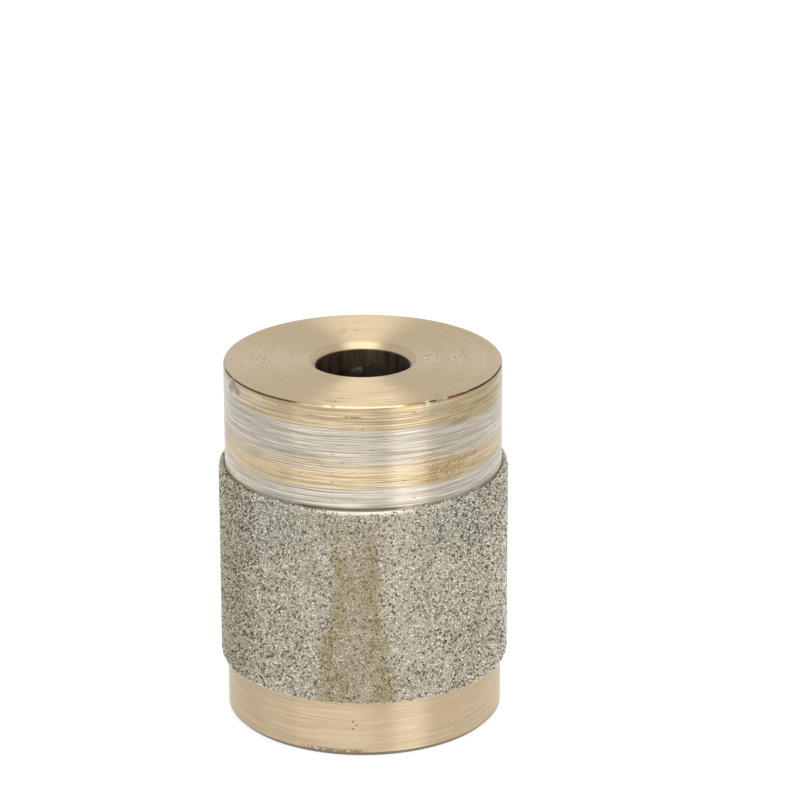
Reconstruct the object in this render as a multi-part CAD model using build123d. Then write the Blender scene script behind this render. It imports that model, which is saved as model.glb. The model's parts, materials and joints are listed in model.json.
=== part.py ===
from build123d import *
import math
import os

# Glass grinder bit: a brass cylinder, bored through for a spindle, with a band of bonded diamond grit plated
# round it and a set screw in its wide upper collar. Millimetres. The origin is the centre of the foot, +Z runs
# up the bore, and the set screw stands on the +Y side.

# Turned body
body_diameter = 24.0
body_height = 32.0
rim_radius = 0.2          # rounding where the faced top meets the side
foot_chamfer = 0.35       # bevel round the foot

# Spindle bore, right through
spindle_diameter = 7.94   # 5/16 inch motor spindle
spindle_clearance = 0.13  # gap all round, so that the bit slides on
bore_chamfer = 0.55       # bevel at each mouth

# Diamond band
band_start = 5.25         # from the foot up to the band's lower edge
band_width = 17.6
band_thickness = 0.55     # how far the plated grit stands proud of the brass
band_upper_radius = 0.3   # the plating builds up round at its upper edge
band_lower_radius = 0.12

# Set screw, M6 with a hexagon socket and a cup point
thread_diameter = 6.0
thread_pitch = 1.0
thread_clearance = 0.03   # between the screw's thread and the tapped hole's, all round
screw_length = 6.0
screw_setback = 0.25      # the screw is backed off this far behind the bore's wall
screw_end_chamfer = 0.5   # bevel at both ends of the thread
socket_across_flats = 3.0
socket_depth = 3.2
socket_chamfer = 0.25     # lead-in round the socket's mouth
cup_diameter = 3.0
cup_depth = 0.7
tapped_mouth_chamfer = 0.6

# Worked-out sizes
body_radius = body_diameter / 2
bore_radius = spindle_diameter / 2 + spindle_clearance
band_end = band_start + band_width
band_radius = body_radius + band_thickness
collar_middle = (band_end + body_height) / 2

# A V-thread's pitch line lies half way down its flanks. The screw and its hole meet there, so both are plain
# cylinders close to that line, and the ridges themselves are left out.
pitch_line_depth = 3 * math.sqrt(3) / 16 * thread_pitch
tapped_radius = thread_diameter / 2 - pitch_line_depth
screw_radius = tapped_radius - thread_clearance
screw_tip = bore_radius + screw_setback

ON_FLOOR = (Align.CENTER, Align.CENTER, Align.MIN)


def ends(shape):
    """The lowest and the highest face of a shape."""
    faces = shape.faces().sort_by(Axis.Z)
    return faces[0], faces[-1]


def along_screw(distance):
    """Turns a shape's +Z to point out along the set screw, and moves its base that far from the bore's axis."""
    return Pos(0, distance, collar_middle) * Rot(-90, 0, 0)


def tapped_hole():
    """What is drilled for the set screw, from the bore's axis out past the collar, with a bevelled mouth."""
    drill = Cylinder(tapped_radius, body_diameter, align=ON_FLOOR)
    bevel = Cone(
        tapped_radius,
        tapped_radius + 2 * tapped_mouth_chamfer,
        2 * tapped_mouth_chamfer,
        align=ON_FLOOR,
    )
    return along_screw(0) * drill + along_screw(body_radius - tapped_mouth_chamfer) * bevel


def brass_body():
    """Turned from one bar: both collars, the land between them, the through bore and the tapped hole."""
    body = Cylinder(body_radius, body_height, align=ON_FLOOR)
    body -= Cylinder(bore_radius, body_height, align=ON_FLOOR)
    foot, top = ends(body)
    mouths = foot.inner_wires().edges() + top.inner_wires().edges()
    body = chamfer(mouths, bore_chamfer)
    foot, top = ends(body)
    body = chamfer(foot.outer_wire().edges(), foot_chamfer)
    foot, top = ends(body)
    body = fillet(top.outer_wire().edges(), rim_radius)
    return body - tapped_hole()


def diamond_band():
    """The plated ring. Its inside lies on the brass all the way round."""
    ring = Cylinder(band_radius, band_width, align=ON_FLOOR)
    ring -= Cylinder(body_radius, band_width, align=ON_FLOOR)
    lower, upper = ends(ring)
    ring = fillet(upper.outer_wire().edges(), band_upper_radius)
    lower, upper = ends(ring)
    ring = fillet(lower.outer_wire().edges(), band_lower_radius)
    return Pos(0, 0, band_start) * ring


def set_screw():
    """Backed off until its cup point is clear of the bore, with its socket facing out."""
    screw = Cylinder(screw_radius, screw_length, align=ON_FLOOR)
    screw = chamfer(screw.edges().filter_by(GeomType.CIRCLE), screw_end_chamfer)
    screw -= Cone(cup_diameter / 2, 0, cup_depth, align=ON_FLOOR)
    key_hole = RegularPolygon(socket_across_flats / 2, 6, major_radius=False)
    screw -= Pos(0, 0, screw_length - socket_depth) * extrude(key_hole, socket_depth)
    corner_radius = socket_across_flats / math.sqrt(3)
    screw -= Pos(0, 0, screw_length - socket_chamfer) * Cone(
        corner_radius - socket_chamfer, corner_radius, socket_chamfer, align=ON_FLOOR
    )
    return along_screw(screw_tip) * screw


os.makedirs("parts", exist_ok=True)
export_step(brass_body(), "parts/brass_body.step")
export_step(diamond_band(), "parts/diamond_band.step")
export_step(set_screw(), "parts/set_screw.step")
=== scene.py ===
# %% [markdown]
# # A diamond bit for grinding glass
# The real thing is one brass cylinder, bored through for a motor's spindle. Plated nickel holds a band of
# diamond grit on it, and a small set screw sits in its wide collar. It stands on end on a white table. The
# solids of the part are loaded first, and the main sizes are read from them, so that the two models agree.

# %% Load the part
import json
import math
from types import SimpleNamespace

import bmesh
import bpy
from mathutils import Matrix, Vector


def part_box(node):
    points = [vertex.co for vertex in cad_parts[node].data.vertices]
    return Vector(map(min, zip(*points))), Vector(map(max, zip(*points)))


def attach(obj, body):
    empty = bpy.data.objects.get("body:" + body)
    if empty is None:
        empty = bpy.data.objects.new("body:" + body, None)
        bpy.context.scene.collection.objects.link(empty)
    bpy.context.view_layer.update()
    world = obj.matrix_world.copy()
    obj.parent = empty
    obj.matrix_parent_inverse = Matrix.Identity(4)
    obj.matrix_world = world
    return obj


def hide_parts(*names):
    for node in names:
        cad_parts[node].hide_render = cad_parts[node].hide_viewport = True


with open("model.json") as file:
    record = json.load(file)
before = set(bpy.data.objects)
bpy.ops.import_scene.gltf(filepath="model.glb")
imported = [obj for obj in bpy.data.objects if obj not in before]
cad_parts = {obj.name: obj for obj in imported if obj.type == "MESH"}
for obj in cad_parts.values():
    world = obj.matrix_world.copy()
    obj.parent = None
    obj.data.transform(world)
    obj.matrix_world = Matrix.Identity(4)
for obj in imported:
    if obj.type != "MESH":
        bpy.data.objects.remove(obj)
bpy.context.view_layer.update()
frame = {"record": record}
MM = 0.001


def mm(size):
    """A size in millimetres, for printing."""
    return round(size / MM, 2)


# %% Sizes of the turned brass
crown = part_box("brass_body")[1]
body_radius, body_height = crown.x, crown.z
foot_bevel = 0.35 * MM
band_low, band_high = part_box("diamond_band")
band_radius = band_high.x
band_start, band_end = band_low.z, band_high.z
bore = next(m for m in frame["record"]["mounts"] if m["name"] == "spindle_bore")["dims"]
bore_radius = bore["r_mm"] * MM
bore_chamfer = (body_height - bore["length_mm"] * MM) / 2
print("bore", mm(2 * bore_radius), "mm, chamfer", mm(bore_chamfer), "mm")

# %% Sizes of the set screw
screw_low, screw_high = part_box("set_screw")
screw_tip, screw_head = screw_low.y, screw_high.y
screw_height = (screw_low.z + screw_high.z) / 2
thread_radius = 3.0 * MM
thread_pitch = 1.0 * MM
print("set screw", mm(screw_head - screw_tip), "mm long, at", mm(screw_height), "mm")

# %% [markdown]
# ## Camera and studio
# The photograph is a product shot: a long lens from a little above, and white paper all round. The camera's
# distance, height and lens were worked out from how the bit's circles look as ellipses. The lens is long,
# so the sides stay almost parallel, and the camera looks above the bit, which leaves the upper half of the
# frame white.


# %% Camera
def in_scene(name, data):
    """A new object with this data, in the scene."""
    made = bpy.data.objects.new(name, data)
    bpy.context.scene.collection.objects.link(made)
    return made


camera_data = bpy.data.cameras.new("camera")
camera = in_scene("camera", camera_data)
bpy.context.scene.camera = camera
camera_distance = 332.8 * MM
camera_elevation = math.radians(22.09)
camera_roll = math.radians(0.11)
camera_pivot = Vector((0, 0, body_height / 2))
camera_target = Vector((3.19, 0, 28.23)) * MM
camera.location = camera_pivot + camera_distance * Vector(
    (0, -math.cos(camera_elevation), math.sin(camera_elevation))
)
aim = (camera_target - camera.location).to_track_quat("-Z", "Y")
camera.rotation_euler = (aim.to_matrix() @ Matrix.Rotation(-camera_roll, 3, "Z")).to_euler()
camera_data.sensor_width = 36
camera_data.lens = 171.25
camera_data.clip_start, camera_data.clip_end = 0.01, 20
print("the camera stands", round(camera.location.length, 3), "m away")


# %% [markdown]
# Colours are written as the hex codes that a screen shows. Blender mixes light in linear values, so one
# function turns them. A second one adds a node to any tree, sets its properties, and fills or links its
# inputs. It takes a node as an input too, and then links the first output that the node has in use.

# %% Helpers for every node tree
MATH, VECTOR_MATH, MAP_RANGE = "ShaderNodeMath", "ShaderNodeVectorMath", "ShaderNodeMapRange"


def colour(code):
    """A screen colour such as "#c8b28a", as linear RGBA."""
    parts = [int(code[i : i + 2], 16) / 255 for i in (1, 3, 5)]
    return [p / 12.92 if p <= 0.04045 else ((p + 0.055) / 1.055) ** 2.4 for p in parts] + [1]


def add(tree, kind, inputs=None, **settings):
    """Adds a node. settings are its properties; inputs gives sockets a value, hex code, node or output."""
    made = tree.nodes.new(kind)
    for name, value in settings.items():
        setattr(made, name, value)
    for socket, value in (inputs or {}).items():
        if isinstance(value, bpy.types.Node):
            value = next(output for output in value.outputs if output.enabled)
        if isinstance(value, bpy.types.NodeSocket):
            tree.links.new(value, made.inputs[socket])
        elif isinstance(value, str) and value.startswith("#"):
            made.inputs[socket].default_value = colour(value)
        else:
            made.inputs[socket].default_value = value
    return made


def material(name):
    """An empty node material and its tree."""
    made = bpy.data.materials.new(name)
    made.use_nodes = True
    made.node_tree.nodes.clear()
    return made, made.node_tree


print("the screen's middle grey is", round(colour("#808080")[0], 3), "in linear values")

# %% [markdown]
# ## White surroundings
# The bit stands on white paper, with white walls round it. Walls could be modelled, but a plain world
# colour gives the same picture. Light as strong as that white would burn out the pale metal. So the world
# and the table look white to the camera and in reflections, and light the bit at a lower level.

# %% White world
world_level = 0.8
world = bpy.data.worlds.new("studio")
bpy.context.scene.world = world
world.use_nodes = True
tree = world.node_tree
tree.nodes.clear()


def seen_or_mirrored(tree):
    """1 for rays that come from the camera, a glossy surface or a clear one: those see the white paper."""
    path = add(tree, "ShaderNodeLightPath").outputs
    found = path["Is Camera Ray"]
    for kind in ("Is Glossy Ray", "Is Transmission Ray"):
        found = add(tree, MATH, {0: found, 1: path[kind]}, operation="MAXIMUM")
    return found


strength = add(tree, MAP_RANGE, {"Value": seen_or_mirrored(tree), "To Min": world_level})
sky = add(tree, "ShaderNodeBackground", {"Color": "#ffffff", "Strength": strength})
add(tree, "ShaderNodeOutputWorld", {"Surface": sky})
bpy.context.scene.view_settings.view_transform = "Standard"
print("the world lights the bit at", world_level, "of white")

# %% White table
# White paper is rough and a little darker than white. The mix that the camera sees glows to white and keeps
# a share of the paper's own shading, so that the bit's shadow shows.
table_material, tree = material("white_paper")
paper = add(tree, "ShaderNodeBsdfDiffuse", {"Color": "#e8e8e6"})
faint = add(tree, "ShaderNodeBsdfDiffuse", {"Color": "#8a8a89"})
glow = add(tree, "ShaderNodeEmission", {"Color": "#ffffff", "Strength": 0.8})
bright = add(tree, "ShaderNodeAddShader", {0: faint, 1: glow})
shown = add(tree, "ShaderNodeMixShader", {0: seen_or_mirrored(tree), 1: paper, 2: bright})
add(tree, "ShaderNodeOutputMaterial", {"Surface": shown})
bpy.ops.mesh.primitive_plane_add(size=8)
table = bpy.context.object
table.name = "table"
table.data.materials.append(table_material)
print("the table is", table.dimensions.x, "m across")


# %% [markdown]
# Three soft boxes shape the metal. A large one overhead, a little to the front, puts the fans of light on
# the faced top, the bright crescent in the bore's mouth and the thin bright lip along the rim. A tall one
# at the right front puts the crisp upright stripe on both collars. A broad faint one at the left front
# lifts that side. Glowing panels could be modelled, but area lamps are cleaner, and no other view shows
# them.

# %% Soft boxes
def soft_box(name, azimuth, elevation, width, height, radiance, distance=300):
    """A lamp facing the bit, in millimetres. Azimuth 0 is the camera's side and grows to the right."""
    lamp = bpy.data.lights.new(name, "AREA")
    lamp.shape = "RECTANGLE"
    lamp.size, lamp.size_y = width * MM, height * MM
    lamp.energy = radiance * math.pi * lamp.size * lamp.size_y
    made = in_scene(name, lamp)
    a, e = math.radians(azimuth), math.radians(elevation)
    direction = Vector((math.sin(a) * math.cos(e), -math.cos(a) * math.cos(e), math.sin(e)))
    made.location = camera_pivot + direction * distance * MM
    made.rotation_euler = direction.to_track_quat("Z", "Y").to_euler()
    made.visible_camera = False
    print(name, "gives", round(lamp.energy, 3), "W")


soft_box("overhead_box", azimuth=0, elevation=75, width=225, height=290, radiance=2.4)
soft_box("stripe_box", azimuth=37, elevation=10, width=140, height=180, radiance=2.2)
soft_box("front_wall", azimuth=-26, elevation=14, width=350, height=240, radiance=0.68)


# %% [markdown]
# ## How turned metal looks
# A lathe leaves fine lines that run round the axis, so most finishes here are drawn in the lathe's own
# measures: the radius, the height, the direction round, and how far the cutter has travelled along the
# outline. The helpers below give those in millimetres, draw noise that is stretched round the axis into
# streaks, and make masks: values from 0 to 1 that say where a finish lies. A picture wrapped round the bit
# would need a seam; these need none.

# %% Where a point lies on the lathe
def on_the_lathe(tree):
    """The place and its radius, height, direction round, cutter's travel and azimuth, in mm and degrees."""
    here = add(tree, "ShaderNodeTexCoord").outputs["Object"]
    place = add(tree, VECTOR_MATH, {0: here, "Scale": 1 / MM}, operation="SCALE")
    flat = add(tree, VECTOR_MATH, {0: place, 1: (1, 1, 0)}, operation="MULTIPLY")
    out = add(tree, VECTOR_MATH, {0: flat}, operation="LENGTH")
    way = add(tree, VECTOR_MATH, {0: flat}, operation="NORMALIZE")
    split = add(tree, "ShaderNodeSeparateXYZ", {0: place}).outputs
    height = split["Z"]
    travel = add(tree, MATH, {0: out, 1: height}, operation="ADD")
    front = add(tree, MATH, {0: split["Y"], 1: -1.0}, operation="MULTIPLY")
    angle = add(tree, MATH, {0: split["X"], 1: front}, operation="ARCTAN2")
    azimuth = add(tree, MATH, {0: angle}, operation="DEGREES")
    return SimpleNamespace(place=place, radius=out, height=height, way=way, travel=travel, azimuth=azimuth)


print("one turn of the collar is", mm(2 * math.pi * body_radius), "mm long")


# %% Noise in spots and in streaks
def spots(tree, place, per_mm, detail=3.0):
    """Noise with this many spots to the millimetre."""
    return add(tree, "ShaderNodeTexNoise", {"Vector": place, "Scale": per_mm, "Detail": detail})


def levels(tree, noise, low, high):
    """Noise, most of which lies between 0.3 and 0.7, made to run from low to high."""
    span = {"Value": noise, "From Min": 0.3, "From Max": 0.7, "To Min": low, "To Max": high}
    return add(tree, MAP_RANGE, span)


def drawn_round(tree, at, length, width):
    """Where to read a pattern, so that its cells have this length round the axis and this width, in mm."""
    reach = body_radius / MM / length
    across = add(tree, MATH, {0: at.travel, 1: width}, operation="DIVIDE")
    lift = add(tree, "ShaderNodeCombineXYZ", {"Z": across})
    return add(tree, VECTOR_MATH, {0: at.way, 1: (reach, reach, 0), 2: lift}, operation="MULTIPLY_ADD")


def streaks(tree, at, length, width, low, high, detail=2.0):
    """Noise in streaks of about this length and width in millimetres, running from low to high."""
    return levels(tree, spots(tree, drawn_round(tree, at, length, width), 1.0, detail), low, high)


print("a streak 12 mm long goes round", round(math.degrees(12 * MM / body_radius)), "degrees")


# %% Masks
def between(tree, value, start, end, soft):
    """1 where a value lies between start and end, fading to 0 over a soft distance. None is no limit."""
    slopes = [
        add(
            tree,
            MAP_RANGE,
            {"Value": value, "From Min": limit + outwards, "From Max": limit},
            interpolation_type="SMOOTHSTEP",
        )
        for limit, outwards in ((start, -soft), (end, soft))
        if limit is not None
    ]
    return both(tree, *slopes)


def joined(tree, operation, masks):
    """Masks joined by one sum. A mask may be given as the span of a value: (value, start, end, soft)."""
    total, *others = [between(tree, *mask) if isinstance(mask, tuple) else mask for mask in masks]
    for mask in others:
        total = add(tree, MATH, {0: total, 1: mask}, operation=operation)
    return total


def both(tree, *masks):
    """Where every mask is 1."""
    return joined(tree, "MULTIPLY", masks)


def either(tree, *masks):
    """Where any mask is 1."""
    return joined(tree, "MAXIMUM", masks)


print("a mask is 1 inside its span and 0 outside it")


# %% Places and coats
# A Mix node's inputs share their names, so they go by number: 0 is the share, 2 and 3 are plain numbers,
# and 6 and 7 are colours.
def near(tree, at, centre, reach):
    """1 at a place given in millimetres, fading to 0 at the reach."""
    gap = add(tree, VECTOR_MATH, {0: at.place, 1: centre}, operation="DISTANCE")
    return between(tree, gap, None, reach / 2, reach / 2)


def coat(tree, under, over, *masks):
    """One colour laid over another where every mask is 1."""
    return add(tree, "ShaderNodeMix", {0: both(tree, *masks), 6: under, 7: over}, data_type="RGBA")


print("a coat covers only where its masks are 1")

# %% [markdown]
# ## Turned brass
# The collars were turned and then brushed lightly with abrasive cloth. That leaves a surface that is smooth
# round the axis and rough along it, so highlights spread into upright stripes on the sides and into a fan
# on the top. On the wide collar the nickel bath left a thin silvery flash, which has worn back to brass in
# two belts. The flash and the stains could be pieces of their own, but they have no thickness that shows,
# so each is a coat of colour, laid over the one before.

# %% Turned brass: where the flash is left
brass, tree = material("turned_brass")
at = on_the_lathe(tree)
below_rim = add(tree, MATH, {0: body_height / MM, 1: at.height}, operation="SUBTRACT")
wander = streaks(tree, at, length=14.0, width=1.1, low=-0.35, high=0.35)
level = joined(tree, "ADD", [below_rim, wander])
on_side = between(tree, at.radius, body_radius / MM - 0.06, None, 0.05)
on_wide_collar = between(tree, at.height, band_end / MM - 1.0, None, 0.5)
upper_flash = both(tree, (level, 2.15, None, 0.3), (level, None, 4.2, 2.0))
lower_flash = between(tree, level, 7.7, None, 0.7)
left_flash = both(tree, (at.azimuth, -140.0, -66.0, 38.0), (level, 0.8, 3.0, 1.6), 0.5)
plated = either(tree, upper_flash, lower_flash, left_flash)
worn = streaks(tree, at, length=12.0, width=0.09, low=-0.4, high=0.4)
patches = streaks(tree, at, length=7.0, width=1.2, low=-0.22, high=0.22)
flash = joined(tree, "ADD", [plated, worn, patches])
flash = both(tree, (flash, 0.75, None, 0.6), on_side, on_wide_collar)
print("the wide collar is", mm(body_height - band_end), "mm high")

# %% Turned brass: its colours
rich_belt = both(tree, (level, 5.6, 6.8, 1.0), on_side)
tone = coat(tree, "#c4b08f", "#d0bc9a", rich_belt)
# The lower collar's brass, painted darker on its left side: painted shade where less light falls.
lower_brass_with_left_shade = coat(tree, "#cab596", "#c2ad8e", (at.azimuth, -120.0, -52.0, 12.0))
tone = coat(tree, tone, lower_brass_with_left_shade, (at.height, foot_bevel / MM, band_start / MM, 0.1), on_side)
silver = coat(tree, "#c5beb0", "#c5bcad", (at.azimuth, -16.0, 46.0, 14.0))
tone = coat(tree, tone, silver, flash)
# The lower flash is painted lighter: painted light that lifts the shade next to the band's ledge.
tone = coat(tree, tone, "#cbc3b5", flash, lower_flash)
# Painted shade: the top belt is painted darker brown at the right side, where less light falls.
tone = coat(tree, tone, "#b5a37f", (at.azimuth, 44.0, 64.0, 16.0), (level, None, 2.2, 0.8), on_side)
print("the lower collar is", mm(band_start), "mm high")

# %% Turned brass: fine lines
# Real lathe lines are finer than a pixel here. These are as coarse as they need to be to show.
fine = streaks(tree, at, length=7.0, width=0.045, low=0.5, high=1.38, detail=1.0)
dashes = streaks(tree, at, length=2.0, width=0.06, low=0.8, high=1.18, detail=1.0)
broad = streaks(tree, at, length=18.0, width=0.4, low=0.975, high=1.025)
side_depth = add(tree, MAP_RANGE, {"Value": on_wide_collar, "To Min": 0.36})
side_lines = both(tree, fine, dashes, broad)
side_shade = add(tree, "ShaderNodeMix", {0: side_depth, 2: 1.0, 3: side_lines})
# Painted highlight: on the faced top the rings are painted strongly only inside the fan of light, and
# faintly outside it.
in_painted_fan = between(tree, at.azimuth, -18.0, 18.0, 16.0)
painted_fan_ring_depth = add(tree, MAP_RANGE, {"Value": in_painted_fan, "To Min": 0.14})
top_lines = streaks(tree, at, length=6.0, width=0.13, low=0.74, high=1.2)
top_shade = add(tree, "ShaderNodeMix", {0: painted_fan_ring_depth, 2: 1.0, 3: top_lines})
shade = add(tree, "ShaderNodeMix", {0: on_side, 2: top_shade, 3: side_shade})
tone = add(tree, VECTOR_MATH, {0: tone, "Scale": shade}, operation="SCALE")
print("with its lines, the brass has", len(tree.nodes), "nodes")

# %% Turned brass: the stained belt
mottle = spots(tree, at.place, per_mm=4.5)
specks = spots(tree, at.place, per_mm=9.0)
stain_patches = streaks(tree, at, length=3.0, width=0.7, low=0.0, high=1.0)
stained_belt = both(
    tree,
    (at.azimuth, 32.0, 46.0, 18.0),
    (level, 5.8, 6.8, 1.1),
    (stain_patches, 0.5, None, 0.5),
    on_side,
)
tone = coat(tree, tone, "#a3875a", stained_belt, (specks, 0.54, None, 0.13), (mottle, 0.45, None, 0.15))
print("with its stained belt, it has", len(tree.nodes))

# %% Turned brass: the dark bore
# Slurry dries in the bore and in the inner end of the screw's hole. Both are painted dark brown: the stain
# and painted shade of these deep hollows, with lighter upright streaks.
bore_wall = both(
    tree,
    (at.radius, None, bore_radius / MM + 0.03, 0.06),
    (below_rim, bore_chamfer / MM + 0.1, None, 0.3),
)
hole_end = both(
    tree,
    (at.radius, None, bore_radius / MM + 1.0, 0.5),
    (below_rim, 1.0, body_height / MM - 1.0, 0.1),
)
# Where the slurry stain and the painted shade of the hollows lie.
bore_stain_and_shade = either(tree, bore_wall, hole_end)
upright = add(tree, VECTOR_MATH, {0: at.place, 1: (1.0, 1.0, 0.15)}, operation="MULTIPLY")
bore_streak = spots(tree, upright, per_mm=0.9, detail=2.0)
bore_stain_and_shade_tone = coat(tree, "#3b2d21", "#5a4d3f", (bore_streak, 0.6, None, 0.3))
tone = coat(tree, tone, bore_stain_and_shade_tone, bore_stain_and_shade)
print("with its dark bore, it has", len(tree.nodes))

# %% Turned brass: the line along the rim
# The rim's small round holds dirt, and at the right it is rust brown. At the front the line is painted pale
# instead: a painted highlight.
thin_line = both(tree, (at.radius, body_radius / MM - 0.11, None, 0.03), (below_rim, None, 0.12, 0.04))
wide_line = both(
    tree,
    (at.radius, body_radius / MM - 0.15, None, 0.06),
    (below_rim, None, 0.16, 0.08),
    (at.azimuth, 17.0, 21.0, 5.0),
)
painted_lip_span = between(tree, at.azimuth, -14.0, 15.0, 4.0)
off_painted_lip = add(tree, MATH, {0: 1.0, 1: painted_lip_span}, operation="SUBTRACT")
patchy_rim = streaks(tree, at, length=3.0, width=2.0, low=-0.3, high=0.7)
stained_rim = either(
    tree,
    both(tree, patchy_rim, off_painted_lip),
    (at.azimuth, -78.0, -28.0, 4.0),
    (at.azimuth, 18.0, 80.0, 5.0),
)
rim_tone = coat(tree, "#5f4c30", "#ab865f", (at.azimuth, -26.0, 24.0, 5.0))
rim_tone = coat(tree, rim_tone, "#7d4a2c", (at.azimuth, 36.0, 42.0, 2.0))
rim_tone = coat(tree, rim_tone, "#3f3018", (at.azimuth, 46.0, 82.0, 4.0))
tone = coat(tree, tone, rim_tone, either(tree, thin_line, wide_line), stained_rim)
# Painted highlight: the thin line along the front of the rim is painted pale.
tone = coat(tree, tone, "#d3c19b", thin_line, painted_lip_span)
print("with the line along its rim, it has", len(tree.nodes))

# %% Turned brass: knocks on the rim
# Painted glint: a pale grey patch where a nick catches the light.
glint = both(tree, (at.azimuth, 24.4, 26.6, 1.2), (below_rim, 0.12, 0.26, 0.1), on_side)
tone = coat(tree, tone, "#a9ada9", glint, (specks, 0.5, None, 0.12))
scar = both(
    tree,
    (at.azimuth, 31.5, 36.0, 1.0),
    (below_rim, None, 0.2, 0.06),
    (at.radius, body_radius / MM - 0.14, None, 0.04),
)
scar_tone = coat(tree, "#5f5a50", "#b9b9b2", (specks, 0.5, None, 0.1))
tone = coat(tree, tone, scar_tone, scar)
scuff = either(
    tree,
    near(tree, at, (-10.95, -4.9, 31.45), 0.7),
    near(tree, at, (-11.25, -4.2, 30.95), 0.6),
    near(tree, at, (-10.6, -5.6, 31.1), 0.45),
)
tone = coat(tree, tone, "#6a604e", scuff, (specks, 0.52, None, 0.08))
behind_rim = both(
    tree,
    (at.azimuth, -15.5, -10.0, 1.0),
    (at.radius, 10.82, 10.92, 0.08),
    (below_rim, None, 0.02, 0.02),
)
under_rim = both(tree, (at.azimuth, -7.0, -1.5, 1.0), (below_rim, 0.88, 0.96, 0.08), on_side)
tone = coat(tree, tone, "#85724f", either(tree, behind_rim, under_rim), (specks, 0.52, None, 0.12))
print("with the knocks on its rim, it has", len(tree.nodes))

# %% Turned brass: dirt and painted shade above the band and at the foot
# A dark line in the corner above the band: dirt, with painted shade where the band's ledge meets the
# collar.
corner_dirt_and_shade = both(
    tree,
    (at.height, None, band_end / MM + 0.08, 0.08),
    (at.height, band_end / MM - 0.5, None, 0.1),
    (at.azimuth, -24.0, 12.0, 8.0),
    on_side,
)
tone = coat(tree, tone, "#7a7265", corner_dirt_and_shade)
# The foot's bevel is painted dark grey: dirt, with painted shade where it meets the table.
tone = coat(tree, tone, "#80776b", (at.height, None, foot_bevel / MM + 0.02, 0.12))
smudge = both(tree, (at.height, None, 0.5, 0.4), (at.azimuth, -22.0, -4.0, 8.0), (mottle, 0.5, None, 0.1))
tone = coat(tree, tone, "#837663", smudge)
print("with its dirt, it has", len(tree.nodes))

# %% Turned brass: pits and short scratches
cells = add(tree, "ShaderNodeTexVoronoi", {"Vector": at.place, "Scale": 2.4})
pitted = either(
    tree,
    near(tree, at, (7.2, 0.4, 32.0), 3.0),
    near(tree, at, (-8.6, -0.9, 32.0), 2.2),
    near(tree, at, (-1.4, 7.2, 32.0), 1.4),
    near(tree, at, (-2.3, -10.2, 32.0), 1.2),
    near(tree, at, (-1.0, -11.95, 3.0), 0.6),
    near(tree, at, (8.2, -8.8, 1.1), 0.7),
)
tone = coat(tree, tone, "#7a684c", (cells, None, 0.18, 0.12), pitted)
along_lines = drawn_round(tree, at, length=6 / 7, width=0.25)
ticks = add(tree, "ShaderNodeTexVoronoi", {"Vector": along_lines, "Scale": 1.0})
drawn = add(tree, "ShaderNodeSeparateXYZ", {0: ticks.outputs["Color"]})
patchy = streaks(tree, at, length=2.5, width=0.4, low=0.2, high=1.1)
scratches = both(tree, (ticks, None, 0.1, 0.14), (drawn, 0.95, None, 0.25), on_side, on_wide_collar)
tone = coat(tree, tone, "#62574a", scratches, patchy)
print("with its scratches, it has", len(tree.nodes))

# %% Turned brass: the surface
# Brushed round the axis, it is much rougher along it than round it, so its gloss runs at right angles to
# the lines.
relief = add(tree, "ShaderNodeBump", {"Height": fine, "Distance": 0.0055 * MM})
tangent = add(tree, "ShaderNodeTangent", direction_type="RADIAL", axis="Z")
rings = streaks(tree, at, length=30.0, width=0.12, low=0.3, high=0.42)
turned_rough = add(tree, "ShaderNodeMix", {0: on_side, 2: rings, 3: 0.33})
rough = add(tree, MAP_RANGE, {"Value": bore_stain_and_shade, "To Min": turned_rough, "To Max": 0.5})
surface = add(
    tree,
    "ShaderNodeBsdfPrincipled",
    {
        "Base Color": tone,
        "Metallic": 1.0,
        "Roughness": rough,
        "Anisotropic": 1.0,
        "Anisotropic Rotation": 0.25,
        "Tangent": tangent,
        "Normal": relief,
    },
)
add(tree, "ShaderNodeOutputMaterial", {"Surface": surface})
print("in all, the brass has", len(tree.nodes), "nodes")

# %% [markdown]
# ## Black oxide steel
# The set screw is alloy steel, blackened in a hot salt bath: a thin dark oxide that keeps a dull sheen. The
# cup point has bitten into a spindle, which rubs the oxide off and leaves it bright. Paint would hide the
# metal, and an oxide doesn't, so this is a dark metal, with a roughness that varies a little and a brighter
# tone near the point.

# %% Black oxide steel
screw_steel, tree = material("black_oxide_steel")
at = on_the_lathe(tree)
out_from_bore = add(tree, "ShaderNodeSeparateXYZ", {0: at.place}).outputs["Y"]
tone = coat(tree, "#353538", "#a29d95", (out_from_bore, None, screw_tip / MM + 0.25, 0.3))
rough = add(tree, MAP_RANGE, {"Value": spots(tree, at.place, 6.0), "To Min": 0.3, "To Max": 0.5})
surface = add(tree, "ShaderNodeBsdfPrincipled", {"Base Color": tone, "Metallic": 1.0, "Roughness": rough})
add(tree, "ShaderNodeOutputMaterial", {"Surface": surface})
print("the point is rubbed bright from", mm(screw_tip), "mm")

# %% [markdown]
# ## The abrasive band
# Diamond grains lie close together in nickel that was plated round them. Seen near, it is a mass of pale
# facets with dark gaps between them. The glass slurry has left a run that widens down the front, and the
# rest is cloudy. The stains lie over grains and nickel alike. So one function works them out as a tint, and
# both materials multiply their colour by it.

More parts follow.
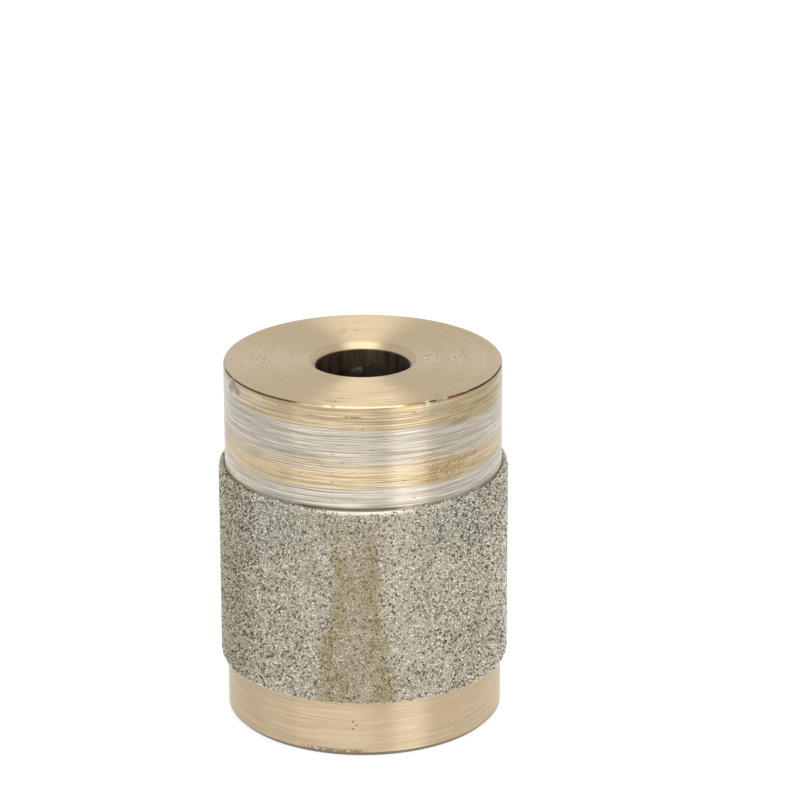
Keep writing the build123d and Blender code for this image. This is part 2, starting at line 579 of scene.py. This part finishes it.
# %% Tints of the band
def band_tints(tree, at):
    """The stains as a colour to multiply by, and where the slurry has run down and filled the gaps."""
    span = {"Value": at.height, "From Min": band_end / MM, "From Max": band_start / MM}
    low_down = add(tree, MAP_RANGE, span)
    cloud = spots(tree, at.place, per_mm=0.35)
    turned_away = add(tree, MATH, {0: at.azimuth}, operation="ABSOLUTE")
    tint = coat(tree, "#f0efea", "#fffffa", (cloud, 0.52, None, 0.18), (low_down, 0.3, None, 0.3))
    tint = coat(tree, tint, "#fffffa", (at.azimuth, 12.0, 34.0, 8.0), (low_down, None, 0.75, 0.3))
    tint = coat(tree, tint, "#f1f5f1", (turned_away, 28.0, 48.0, 12.0), (low_down, None, 0.15, 0.2))
    tint = coat(tree, tint, "#e2e0d2", (at.azimuth, -100.0, -64.0, 20.0), (cloud, 0.4, None, 0.3))
    wobble = levels(tree, cloud, 0.0, 7.0)
    shifted = add(tree, MATH, {0: at.azimuth, 1: wobble}, operation="ADD")
    from_middle = add(tree, MATH, {0: shifted}, operation="ABSOLUTE")
    half_width = add(tree, MAP_RANGE, {"Value": low_down, "To Min": 5.5, "To Max": 14.5})
    share = add(tree, MATH, {0: from_middle, 1: half_width}, operation="DIVIDE")
    started = between(tree, low_down, 0.3, None, 0.3)
    blotch = spots(tree, at.place, per_mm=1.1, detail=4.0)
    thinned = add(tree, MAP_RANGE, {"Value": blotch, "From Min": 0.35, "From Max": 0.6, "To Min": 0.5})
    run_down = both(tree, (share, None, 0.55, 0.7), started, thinned)
    tint = coat(tree, tint, "#efeadc", run_down)
    tint = coat(tree, tint, "#e3dfc8", (share, 0.7, 0.8, 0.45), started, (blotch, 0.48, None, 0.14))
    return tint, run_down


print("the band is", mm(band_end - band_start), "mm high")

# %% [markdown]
# ## Plated nickel
# Nickel from a plating bath is a metal, but between the grains it is dull and lumpy where it has grown
# round them, and dark with slurry. Along the front of the upper edge it is bare, and painted pale there as
# a highlight. The lumps are smaller than a grain and lie in its shade, so a bump from noise is enough for
# them.

# %% Plated nickel
nickel, tree = material("plated_nickel")
at = on_the_lathe(tree)
tint, run_down = band_tints(tree, at)
tone = coat(tree, "#ada597", "#aea592", run_down)
# Painted highlight: the bare lip along the front is painted pale.
bare_lip_painted_highlight = both(tree, (at.height, band_end / MM - 0.3, None, 0.12), (at.azimuth, -15.0, 15.0, 8.0))
tone = coat(tree, tone, "#d6cfc1", bare_lip_painted_highlight)
tone = add(tree, VECTOR_MATH, {0: tone, 1: tint}, operation="MULTIPLY")
lumps = spots(tree, at.place, per_mm=5.0)
relief = add(tree, "ShaderNodeBump", {"Height": lumps, "Distance": 0.06 * MM})
look = {"Base Color": tone, "Metallic": 1.0, "Roughness": 0.5, "Normal": relief}
surface = add(tree, "ShaderNodeBsdfPrincipled", look)
add(tree, "ShaderNodeOutputMaterial", {"Surface": surface})
print("the nickel has", len(tree.nodes), "nodes")

# %% [markdown]
# ## Nickel-coated diamond
# Each grain has a tone of its own: most are pale and coated with nickel, some are dark or straw-coloured.
# One texture over the band would ignore the grains' edges, so each grain carries a random number, and a
# ramp turns it into a colour. A fine speckle paints light and shade on chips and facets too small to model.

# %% Nickel-coated diamond
grit_material, tree = material("nickel_coated_diamond")
at = on_the_lathe(tree)
tint, run_down = band_tints(tree, at)
tone_value = add(tree, "ShaderNodeAttribute", attribute_name="tone").outputs["Fac"]
ramp = add(tree, "ShaderNodeValToRGB", {0: tone_value})
tones = ramp.color_ramp.elements
tones[0].color, tones[0].position = colour("#5e5548"), 0.06
tones[1].color = colour("#efece6")
for position, code in ((0.28, "#bbb3a5"), (0.5, "#dad4c9")):
    tones.new(position).color = colour(code)
tone = coat(tree, ramp, "#c6beae", run_down, 0.3)
tone = add(tree, VECTOR_MATH, {0: tone, 1: tint}, operation="MULTIPLY")
# Painted light and shade of facets too small to model.
painted_facet_speckle = levels(tree, spots(tree, at.place, per_mm=10.0, detail=2.0), 0.74, 1.12)
tone = add(tree, VECTOR_MATH, {0: tone, "Scale": painted_facet_speckle}, operation="SCALE")
surface = add(tree, "ShaderNodeBsdfPrincipled", {"Base Color": tone, "Metallic": 0.55, "Roughness": 0.52})
add(tree, "ShaderNodeOutputMaterial", {"Surface": surface})
print("the grains have", len(tones), "tones to mix")


# %% [markdown]
# ## Turned shapes
# Everything turned on a lathe is an outline swept round an axis. The tree below does just that: it takes
# the outline's points, lays out a grid with one row for each point and one column for each step round the
# axis, and moves every grid point to its place. The last column falls on the first, and merging closes the
# seam. A Screw modifier would do too, but the same grid also makes the thread further down, which no plain
# sweep can.

# %% Running a Geometry Nodes tree
def settle(piece, modifier):
    """Makes a modifier's result the piece's own plain mesh, and takes the modifier off."""
    graph = bpy.context.evaluated_depsgraph_get()
    mesh = bpy.data.meshes.new_from_object(piece.evaluated_get(graph), depsgraph=graph)
    piece.modifiers.remove(modifier)
    piece.data = mesh
    mesh.name = piece.name
    print(piece.name, "has", len(mesh.polygons), "faces")


def geometry_tree(name, **inputs):
    """A tree with named inputs. Each is given as its default, or as the word Object or Material."""
    made = bpy.data.node_groups.new(name, "GeometryNodeTree")
    for way in ("OUTPUT", "INPUT"):
        made.interface.new_socket("Geometry", in_out=way, socket_type="NodeSocketGeometry")
    for label, default in inputs.items():
        kind = default if isinstance(default, str) else type(default).__name__.capitalize()
        socket = made.interface.new_socket(label, in_out="INPUT", socket_type="NodeSocket" + kind)
        if kind != default:
            socket.default_value = default
    return made


def run(tree, name, start, **values):
    """Runs a tree on a mesh and returns the result as a plain mesh object at the origin."""
    made = in_scene(name, start)
    modifier = made.modifiers.new(name, "NODES")
    modifier.node_group = tree
    for item in tree.interface.items_tree:
        if item.in_out == "INPUT" and item.name in values:
            modifier[item.identifier] = values[item.name]
    settle(made, modifier)
    return made


# %% What the trees share
def grid_round(tree, rows, sides):
    """A grid with one column more than the sides. Also each point's row, and its share of a turn."""
    columns = add(tree, MATH, {0: sides, 1: 1.0}, operation="ADD")
    grid = add(tree, "GeometryNodeMeshGrid", {"Vertices X": columns, "Vertices Y": rows})
    index = add(tree, "GeometryNodeInputIndex")
    row = add(tree, MATH, {0: index, 1: rows}, operation="MODULO")
    step = add(tree, MATH, {0: index, 1: rows}, operation="DIVIDE")
    column = add(tree, MATH, {0: step}, operation="FLOOR")
    return grid, row, add(tree, MATH, {0: column, 1: sides}, operation="DIVIDE")


def wrapped(tree, grid, spoke, turn):
    """The grid with every point at its spoke's end, turned round Z, and the seam closed."""
    angle = add(tree, MATH, {0: turn, 1: 2 * math.pi}, operation="MULTIPLY")
    place = add(tree, "ShaderNodeVectorRotate", {"Vector": spoke, "Axis": (0, 0, 1), "Angle": angle})
    bent = add(tree, "GeometryNodeSetPosition", {0: grid, "Position": place})
    return add(tree, "GeometryNodeMergeByDistance", {0: bent, "Distance": 1e-8})


def deliver(tree, geometry, given):
    """The end of every tree: real geometry, and the material."""
    real = add(tree, "GeometryNodeRealizeInstances", {0: geometry})
    finish = add(tree, "GeometryNodeSetMaterial", {0: real, "Material": given["Material"]})
    add(tree, "NodeGroupOutput", {0: finish})
    print(tree.name, "has", len(tree.nodes), "nodes")


print("every tree ends in real geometry with a material")

# %% The lathe tree
lathe = geometry_tree("Lathe", Sides=360, Material="Material")
given = add(lathe, "NodeGroupInput").outputs
rows = add(lathe, "GeometryNodeAttributeDomainSize", {0: given["Geometry"]}).outputs["Point Count"]
grid, row, turn = grid_round(lathe, rows, given["Sides"])
outline_point = add(
    lathe,
    "GeometryNodeSampleIndex",
    {0: given["Geometry"], "Value": add(lathe, "GeometryNodeInputPosition").outputs[0], "Index": row},
    data_type="FLOAT_VECTOR",
)
closed = wrapped(lathe, grid, outline_point, turn)
deliver(lathe, add(lathe, "GeometryNodeSetShadeSmooth", {0: closed}), given)


# %% [markdown]
# The tree needs an outline. A turned corner is never perfectly sharp, and the small round that a file or
# the wear leaves there is what catches the light as a thin bright line. So an outline is written as its
# corners, each with a rounding, and one function lays points along the straights and round the corners.
# Each straight has a point close to both of its ends, which keeps the shading of the corner from spreading
# over the flat beside it.

# %% Outlines with rounded corners
support = 0.1 * MM


def outline(corners, spacing, round_steps=4):
    """A closed outline in the XZ plane as a mesh of points. corners are (radius, height, rounding).

    They run anticlockwise, with the radius to the right: then the turned faces point outwards.
    """
    points = []
    before, after = corners[-1:] + corners[:-1], corners[1:] + corners[:1]
    for previous, (x, z, rounding), following in zip(before, corners, after):
        corner = Vector((x, z))
        back = (Vector(previous[:2]) - corner).normalized()
        ahead = (Vector(following[:2]) - corner).normalized()
        half = back.angle(ahead) / 2
        centre = corner + (back + ahead).normalized() * rounding / math.sin(half)
        arm = corner + back * rounding / math.tan(half) - centre
        sweep = -math.copysign(math.pi - 2 * half, back.cross(ahead))
        for n in range(round_steps + 1):
            points.append(centre + Matrix.Rotation(sweep * n / round_steps, 2) @ arm)
    filled = []
    for here, there in zip(points, points[1:] + points[:1]):
        length = (there - here).length
        count = max(1, math.ceil(length / spacing))
        shares = [n / count for n in range(count)]
        if length > 4 * support:
            shares = sorted(shares + [support / length, 1 - support / length])
        filled += [here.lerp(there, share) for share in shares]
    filled.append(filled[0])
    mesh = bpy.data.meshes.new("outline")
    mesh.from_pydata([(p.x, 0, p.y) for p in filled], [], [])
    print("an outline of", len(corners), "corners has", len(filled), "points")
    return mesh


# %% [markdown]
# ## The set screw's thread
# An M6 thread is a ridge that climbs one pitch with each turn. Its height at any place follows from one
# number: the distance along the axis in pitches, less the turns made so far. The tree makes a rod from that
# rule. It is used twice, for the screw and for the tap that cuts the screw's hole, so the two threads
# always match.

# %% The thread tree
thread = geometry_tree(
    "Thread",
    Radius=thread_radius,
    Pitch=thread_pitch,
    Start=0.0,
    End=1.0,
    Bevel=0.0,
    Sides=64,
    Rows=100,
    Material="Material",
)
given = add(thread, "NodeGroupInput").outputs
grid, row, turn = grid_round(thread, given["Rows"], given["Sides"])
last_row = add(thread, MATH, {0: given["Rows"], 1: 2.0}, operation="SUBTRACT")
along = add(
    thread,
    MAP_RANGE,
    {"Value": row, "From Min": 1.0, "From Max": last_row, "To Min": given["Start"], "To Max": given["End"]},
)
print("the rod has", len(thread.interface.items_tree) - 2, "inputs besides its mesh")

# %% The ridge: a flat crest an eighth of a pitch wide, straight flanks, a flat root twice as wide
crest_width, root_width = 0.125, 0.25
ridge_height = 0.6134 * thread_pitch
pitches = add(thread, MATH, {0: along, 1: given["Pitch"]}, operation="DIVIDE")
climb = add(thread, MATH, {0: pitches, 1: turn}, operation="SUBTRACT")
from_crest = add(thread, MATH, {0: climb, 1: 0.5}, operation="PINGPONG")
flank = {"From Min": crest_width / 2, "From Max": (1 - root_width) / 2, "To Max": ridge_height}
depth = add(thread, MAP_RANGE, {"Value": from_crest, **flank})
ridge = add(thread, MATH, {0: given["Radius"], 1: depth}, operation="SUBTRACT")
from_start = add(thread, MATH, {0: along, 1: given["Start"]}, operation="SUBTRACT")
from_end = add(thread, MATH, {0: given["End"], 1: along}, operation="SUBTRACT")
nearer = add(thread, MATH, {0: from_start, 1: from_end}, operation="MINIMUM")
full = add(thread, MATH, {0: given["Radius"], 1: given["Bevel"]}, operation="SUBTRACT")
cone = add(thread, MATH, {0: full, 1: nearer}, operation="ADD")
radius = add(thread, MATH, {0: ridge, 1: cone}, operation="MINIMUM")
print("the ridge stands", mm(ridge_height), "mm high")

# %% The rod's ends: its first and last rows shrink to the axis and close it
inside = add(thread, MATH, {0: row, 1: 0.5}, operation="GREATER_THAN")
before_last = add(thread, MATH, {0: last_row, 1: 0.5}, operation="ADD")
short_of_end = add(thread, MATH, {0: row, 1: before_last}, operation="LESS_THAN")
reach = both(thread, inside, short_of_end, radius)
spoke = add(thread, "ShaderNodeCombineXYZ", {"X": reach, "Z": along})
deliver(thread, wrapped(thread, grid, spoke, turn), given)


# %% [markdown]
# ## The brass body
# The body is turned from one bar: both collars, the land under the band, and the bore with its bevels. It
# could be cut from a cylinder step by step. One outline is quicker, and gives every edge its own small
# round. The knocks on the rim are then pushed into the mesh, and boolean cuts make the screw's hole,
# because no outline holds it.

# %% Brass body, turned
rim_rounding = 0.2 * MM
edge = 0.04 * MM
bore_wide = bore_radius + bore_chamfer
brass_outline = outline(
    [
        (bore_wide, 0, edge),
        (body_radius - foot_bevel, 0, edge),
        (body_radius, foot_bevel, edge),
        (body_radius, body_height, rim_rounding),
        (bore_wide, body_height, edge),
        (bore_radius, body_height - bore_chamfer, edge),
        (bore_radius, bore_chamfer, edge),
    ],
    spacing=2 * MM,
)
body = run(lathe, "brass", brass_outline, Sides=720, Material=brass)


# %% Nicks in the rim
def nick(piece, azimuth, spread, depth):
    """Pushes the rim in and down round one azimuth. Degrees and millimetres."""
    reach = rim_rounding + support
    slant = 0.7
    for point in piece.data.vertices:
        place = point.co
        gap = (body_radius - place.xy.length) + (body_height - place.z)
        away = math.degrees(math.atan2(place.x, -place.y)) - azimuth
        if gap < reach and abs(away) < 3 * spread:
            push = depth * MM * math.exp(-((away / spread) ** 2)) * (1 - gap / reach)
            inward = Vector((-place.x, -place.y, 0)).normalized() - Vector((0, 0, 1))
            point.co = place + inward * push * slant
    print("a nick", depth, "mm deep at", azimuth, "degrees")


nick(body, azimuth=26, spread=1.3, depth=0.12)
nick(body, azimuth=34, spread=1.8, depth=0.16)
nick(body, azimuth=47, spread=2.0, depth=0.07)
nick(body, azimuth=66, spread=4.0, depth=0.05)
nick(body, azimuth=-13, spread=1.2, depth=0.08)
nick(body, azimuth=-68, spread=1.6, depth=0.1)


# %% Cutting one shape out of another
def cut(piece, tool):
    """Subtracts a closed tool from a piece, then removes the tool."""
    modifier = piece.modifiers.new("cut", "BOOLEAN")
    modifier.object, modifier.operation, modifier.solver = tool, "DIFFERENCE", "EXACT"
    settle(piece, modifier)
    bpy.data.objects.remove(tool)


def along_screw(piece):
    """Turns what was made along Z to lie along the screw, which points to +Y."""
    piece.data.transform(Matrix.Translation((0, 0, screw_height)) @ Matrix.Rotation(-math.pi / 2, 4, "X"))


def crease(piece, degrees=32):
    """Smooth faces, with a sharp edge wherever two of them meet at more than this angle."""
    for face in piece.data.polygons:
        face.use_smooth = True
    piece.data.set_sharp_from_angle(angle=math.radians(degrees))


print("the screw's hole lies", mm(screw_height), "mm above the foot")

# %% Tapped hole for the set screw
beyond = 1 * MM
screw_sides = 72
tap = run(
    thread,
    "tap",
    bpy.data.meshes.new("seed"),
    Start=bore_radius / 2,
    End=body_radius + beyond,
    Sides=screw_sides,
    Rows=220,
    Material=brass,
)
along_screw(tap)
cut(body, tap)

# %% Countersink of the hole, at 45 degrees
sink_depth = 0.6 * MM
sink_radius = thread_radius - 0.3 * MM
sink_floor, sink_mouth = body_radius - sink_depth, body_radius + sink_depth
sink_outline = outline(
    [
        (0, sink_floor, 0),
        (sink_radius, sink_floor, 0),
        (sink_radius + 2 * sink_depth, sink_mouth, 0),
        (0, sink_mouth, 0),
    ],
    spacing=5 * MM,
)
countersink = run(lathe, "countersink", sink_outline, Sides=screw_sides, Material=brass)
along_screw(countersink)
cut(body, countersink)
crease(body)

# %% [markdown]
# ## The set screw
# The screw is thread over its whole length, with a hexagon socket in its outer end and a hollow cup for a
# point. The rod comes from the thread tree, slightly thinner than the tap, so that it clears the hole.
# Three plain closed tools then cut the socket, its lead-in and the cup. It is made along Z and turned into
# place at the end, because the thread's rule is written along Z.

# %% Threaded rod
thread_gap = 0.03 * MM
screw = run(
    thread,
    "screw",
    bpy.data.meshes.new("seed"),
    Radius=thread_radius - thread_gap,
    Start=screw_tip,
    End=screw_head,
    Bevel=0.5 * MM,
    Sides=screw_sides,
    Rows=150,
    Material=screw_steel,
)


# %% Closed cutting tools
def as_mesh(shape, name):
    """What was built in bmesh, as a mesh."""
    mesh = bpy.data.meshes.new(name)
    shape.to_mesh(mesh)
    shape.free()
    return mesh


def prism(name, radii, heights, sides):
    """A closed tool along Z with regular rings at two heights."""
    shape = bmesh.new()
    turns = [2 * math.pi * n / sides for n in range(sides)]
    low, high = (
        [shape.verts.new((r * math.cos(turn), r * math.sin(turn), height)) for turn in turns]
        for r, height in zip(radii, heights)
    )
    shape.faces.new(low[::-1])
    shape.faces.new(high)
    for n in range(sides):
        shape.faces.new((low[n - 1], low[n], high[n], high[n - 1]))
    mesh = as_mesh(shape, name)
    mesh.materials.append(screw_steel)
    print(name, "is a tool of", len(mesh.polygons), "faces")
    return in_scene(name, mesh)


# %% The hexagon socket, its lead-in and the cup point
socket_flats, socket_depth, lead_in = 3.0 * MM, 3.2 * MM, 0.25 * MM
corner = socket_flats / math.sqrt(3)
outside = screw_head + beyond
cut(screw, prism("socket", [corner, corner], [screw_head - socket_depth, outside], 6))
cut(screw, prism("lead_in", [corner - lead_in, corner + beyond], [screw_head - lead_in, outside], 48))
cup_radius, cup_depth, cup_floor = 1.5 * MM, 0.7 * MM, 0.02 * MM
cup_mouth = cup_radius * (1 + beyond / cup_depth)
cut(screw, prism("cup", [cup_mouth, cup_floor], [screw_tip - beyond, screw_tip + cup_depth], 48))
along_screw(screw)
crease(screw)

# %% [markdown]
# ## The nickel shell
# Under the grains the nickel is a sleeve on the brass, with a round upper edge where the plating built up.
# The grains alone would show brass in the gaps. The sleeve is turned as the body is, and lies a little
# under the band's full size, which the grains reach.

# %% Nickel shell of the band
bond_depth = 0.09 * MM
bond_radius, bond_end = band_radius - bond_depth, band_end - bond_depth
upper_round, lower_round = 0.28 * MM, 0.12 * MM
skin = 0.002 * MM
band_outline = outline(
    [
        (bond_radius, band_start, lower_round),
        (bond_radius, bond_end, upper_round),
        (body_radius + skin, bond_end, 0),
        (body_radius + skin, band_start, 0),
    ],
    spacing=0.4 * MM,
)
bond = run(lathe, "nickel_bond", band_outline, Sides=360, Material=nickel)


# %% [markdown]
# ## The grains
# Crushed diamond is sieved, so its grains are of about one size: some are blocky and some sharp. The band
# holds many thousands. A bump would look flat at its edge, so they are real, and each is a body of few
# faces.

# %% Two shapes of grain
def crystal(name, corners):
    """The convex body over its corners, one across, as an object that the grit tree can copy."""
    shape = bmesh.new()
    made_corners = [shape.verts.new(Vector(place).normalized() / 2) for place in corners]
    bmesh.ops.convex_hull(shape, input=made_corners)
    made = in_scene(name, as_mesh(shape, name))
    print(name, "has", len(made.data.polygons), "faces")
    return made


signs = [(a, b) for a in (-1, 1) for b in (-1, 1)]
blocky = crystal("blocky", [p for a, b in signs for p in ((a, b, 0), (a, 0, b), (0, a, b))])
sharp = crystal("sharp", [(1, 0, 0), (-1, 0, 0), (0, 1, 0), (0, -1, 0), (0, 0, 1), (0, 0, -1)])

# %% [markdown]
# The grit tree scatters points on the nickel so that no two are closer than the spacing, as the sieved
# grains lie in the plating bath, and puts a grain on each, turned at random and sunk by about a third. Each
# grain carries a random tone for the material. The band is made in sectors, so that no single piece grows
# too heavy.

# %% The grit tree
grit = geometry_tree(
    "Grit",
    Grain=0.2 * MM,
    Spacing=0.2 * MM,
    Rise=0.2,
    Sector=0,
    Sectors=1,
    Seed=1,
    Blocky="Object",
    Sharp="Object",
    Material="Material",
)
crowd = 6e7
given = add(grit, "NodeGroupInput").outputs
spread = {"Distance Min": given["Spacing"], "Density Max": crowd, "Seed": given["Seed"]}
scatter = add(
    grit,
    "GeometryNodeDistributePointsOnFaces",
    {"Mesh": given["Geometry"], **spread},
    distribute_method="POISSON",
)
rise = add(grit, MATH, {0: given["Grain"], 1: given["Rise"]}, operation="MULTIPLY")
shift = add(grit, VECTOR_MATH, {0: scatter.outputs["Normal"], "Scale": rise}, operation="SCALE")
seated = add(grit, "GeometryNodeSetPosition", {0: scatter, "Offset": shift})
tone_of = add(grit, "FunctionNodeRandomValue", {"Seed": 11})
toned = add(grit, "GeometryNodeStoreNamedAttribute", {0: seated, "Name": "tone", "Value": tone_of})
print("up to", round(crowd / 1e6), "grains to a square millimetre, so the spacing decides")

# %% The grit tree: which grains belong to this sector
here = add(grit, "ShaderNodeSeparateXYZ", {0: add(grit, "GeometryNodeInputPosition")}).outputs
angle = add(grit, MATH, {0: here["Y"], 1: here["X"]}, operation="ARCTAN2")
full_turn = {"From Min": -math.pi, "From Max": math.pi, "To Max": given["Sectors"]}
share = add(grit, MAP_RANGE, {"Value": angle, **full_turn})
past = add(grit, MATH, {0: share, 1: given["Sector"]}, operation="SUBTRACT")
away = add(grit, MATH, {0: past, 1: 0.5}, operation="SUBTRACT")
distance = add(grit, MATH, {0: away}, operation="ABSOLUTE")
mine = add(grit, "FunctionNodeCompare", {0: distance, 1: 0.5}, operation="LESS_EQUAL")
print("so far the grit tree has", len(grit.nodes), "nodes")

# %% The grit tree: grains on the points
# Random Value's inputs share names too: 2 and 3 are the limits of a plain number, 4 and 5 of a whole one.
choice = add(grit, "GeometryNodeGeometryToInstance")
shapes = [
    add(grit, "GeometryNodeObjectInfo", {"Object": given[label], "As Instance": True}).outputs["Geometry"]
    for label in ("Blocky", "Sharp")
]
for shape in shapes:
    grit.links.new(shape, choice.inputs[0])
turns = (6.28, 6.28, 6.28)
spin = add(grit, "FunctionNodeRandomValue", {"Max": turns, "Seed": 12}, data_type="FLOAT_VECTOR")
size = add(grit, "FunctionNodeRandomValue", {2: 0.75, 3: 1.3, "Seed": 13})
scale = add(grit, MATH, {0: size, 1: given["Grain"]}, operation="MULTIPLY")
pick = add(grit, "FunctionNodeRandomValue", {4: 0, 5: 1, "Seed": 14}, data_type="INT")
grains = add(
    grit,
    "GeometryNodeInstanceOnPoints",
    {
        "Points": toned,
        "Selection": mine,
        "Instance": choice,
        "Pick Instance": True,
        "Instance Index": pick,
        "Rotation": spin,
        "Scale": scale,
    },
)
deliver(grit, grains, given)


# %% The faces that carry grains
def bare_depth(middle):
    """How far the grains stay below the band's upper edge: a hair, but more along the front."""
    azimuth = math.degrees(math.atan2(middle.x, -middle.y))
    hair, more, spread = 0.06 * MM, 0.26 * MM, 14
    return hair + more * math.exp(-((azimuth / spread) ** 2))


def outer_wall(source, radius):
    """A copy of the faces of a turned mesh outside a radius, less those in the bare upper edge."""
    shape = bmesh.new()
    shape.from_mesh(source)
    bare = []
    for face in shape.faces:
        middle = face.calc_center_median()
        if middle.xy.length < radius or middle.z > band_end - bare_depth(middle):
            bare.append(face)
    bmesh.ops.delete(shape, geom=bare, context="FACES")
    print(len(bare), "faces of the shell carry no grains")
    return as_mesh(shape, "wall")


# %% Grit, in sectors
sectors = 6
grains_by_sector = [
    run(
        grit,
        f"grit_{n + 1}",
        outer_wall(bond.data, bond_radius - 0.3 * MM),
        Grain=0.17 * MM,
        Spacing=0.126 * MM,
        Rise=0.2,
        Sector=n,
        Sectors=sectors,
        Seed=7,
        Blocky=blocky,
        Sharp=sharp,
        Material=grit_material,
    )
    for n in range(sectors)
]
for shape in (blocky, sharp):
    bpy.data.objects.remove(shape)

# %% [markdown]
# ## Riding with the part
# Nothing on the bit moves, so the part has one body, and every visible piece is tied to it. Each piece is
# listed with the solid it stands for, which is then hidden, and with one of the part's material slots,
# which the loop does not use.

# %% Ride with the part
pieces = [(body, "brass_body", "brass"), (screw, "set_screw", "screw_steel")]
pieces += [(piece, "diamond_band", "diamond_grit") for piece in [bond, *grains_by_sector]]
for piece, node, slot in pieces:
    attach(piece, "root")
    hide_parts(node)
print(len(pieces), "pieces ride with the part")
